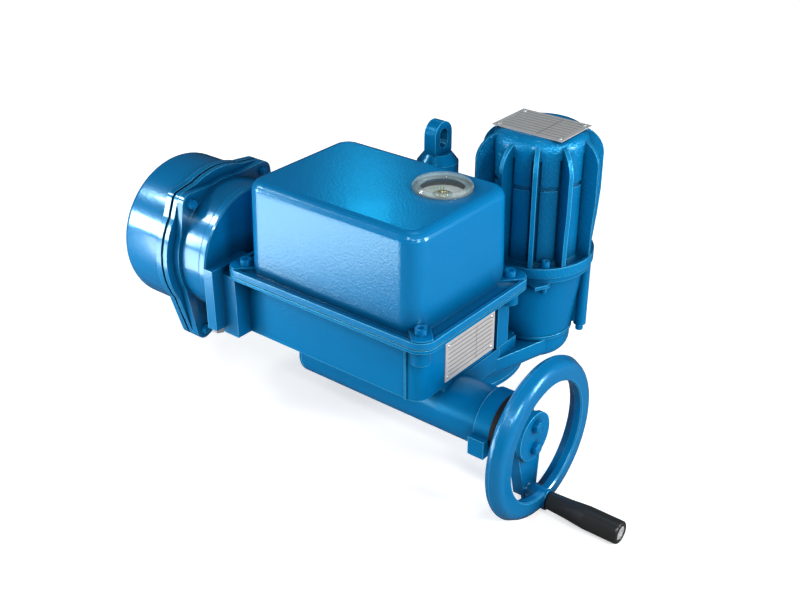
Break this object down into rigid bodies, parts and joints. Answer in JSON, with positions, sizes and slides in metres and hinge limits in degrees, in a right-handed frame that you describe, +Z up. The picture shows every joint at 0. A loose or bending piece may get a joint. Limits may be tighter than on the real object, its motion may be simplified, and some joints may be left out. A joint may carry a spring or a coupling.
{
  "type": "electric valve actuator",
  "caption": "Electric valve actuator: gear casing on a bolted output flange, control box with a dial window, round terminal housing, upright finned motor and side handwheel.",
  "frame": {"origin": "centre of the output flange's lower face, on the output axis", "axes": "+Z up along the output axis, +X along the handwheel shaft towards the handwheel, -Y towards the side with the control box, +Y towards the motor"},
  "size_m": [0.622, 0.3622, 0.3633],
  "materials": {
    "blue_paint": "gloss enamel with a faint orange peel",
    "painted_screws": "gloss enamel, thinner over the edges",
    "shaft_steel": "ground",
    "bearing_steel": "ground",
    "bronze": "machined",
    "black_rubber": "matt",
    "black_grip": "semi-gloss",
    "clear_ring": "clear moulding",
    "clear_glass": "clear",
    "white_dial": "printed",
    "brass": "turned",
    "zinc_steel": "zinc plated",
    "black_plastic": "moulded",
    "board_green": "solder mask",
    "plug_metal": "nickel plated",
    "stator_core": "laminated",
    "plate_metal": "etched, satin"
  },
  "bodies": {
    "frame": {"output_flange": "blue_paint", "gear_casing": "blue_paint", "sleeve_bearing_lower": "bearing_steel", "sleeve_bearing_upper": "bearing_steel", "worm_bearing_left": "bearing_steel", "worm_bearing_right": "bearing_steel", "tube_end_cover": "blue_paint", "bearing_cap": "blue_paint", "shaft_seal": "black_rubber", "control_box": "blue_paint", "rim_gasket": "black_rubber", "control_hood": "blue_paint", "hood_screws": "painted_screws", "window_ring": "clear_ring", "window_glass": "clear_glass", "dial_plate": "white_dial", "control_chassis": "zinc_steel", "limit_switches": "black_plastic", "circuit_board": "board_green", "terminal_housing": "blue_paint", "terminal_cap": "blue_paint", "cap_bolts": "painted_screws", "terminal_block": "black_plastic", "conduit_plug": "plug_metal", "motor_adaptor": "blue_paint", "motor_cover": "blue_paint", "motor_bolts": "painted_screws", "stator": "stator_core", "motor_bearing_lower": "bearing_steel", "motor_bearing_upper": "bearing_steel", "lifting_eye": "blue_paint", "motor_nameplate": "plate_metal", "box_nameplate": "plate_metal", "plate_rivets": "plate_metal"},
    "handwheel": {"handwheel": "blue_paint", "hub_plate": "blue_paint", "hub_bolts": "painted_screws", "grip_spindle": "shaft_steel", "worm_shaft": "shaft_steel"},
    "grip": {"grip": "black_grip"},
    "output": {"worm_wheel": "bronze", "drive_sleeve": "shaft_steel"},
    "pointer": {"dial_pointer": "brass", "dial_gear": "bronze"},
    "rotor": {"rotor": "shaft_steel"}
  },
  "joints": [
    {"name": "handwheel_spin", "type": "hinge", "parent": "frame", "child": "handwheel", "pos_m": [0.228, -0.12, 0.0565], "axis": [1, 0, 0], "continuous": true},
    {"name": "grip_spin", "type": "hinge", "parent": "handwheel", "child": "grip", "pos_m": [0.28, -0.11303, -0.0232], "axis": [1, 0, 0], "continuous": true},
    {"name": "output_turn", "type": "hinge", "parent": "frame", "child": "output", "pos_m": [0, 0, 0.0565], "axis": [0, 0, 1], "continuous": true},
    {"name": "pointer_turn", "type": "hinge", "parent": "frame", "child": "pointer", "pos_m": [0.065, -0.0794, 0.175], "axis": [0, 0, 1], "continuous": true},
    {"name": "rotor_spin", "type": "hinge", "parent": "frame", "child": "rotor", "pos_m": [0.0995, 0.0578, 0.24], "axis": [0, 0, 1], "continuous": true}
  ],
  "couplings": [
    {"joint": "output_turn", "follows": "handwheel_spin", "ratio": -0.027778},
    {"joint": "pointer_turn", "follows": "handwheel_spin", "ratio": -0.013889}
  ]
}
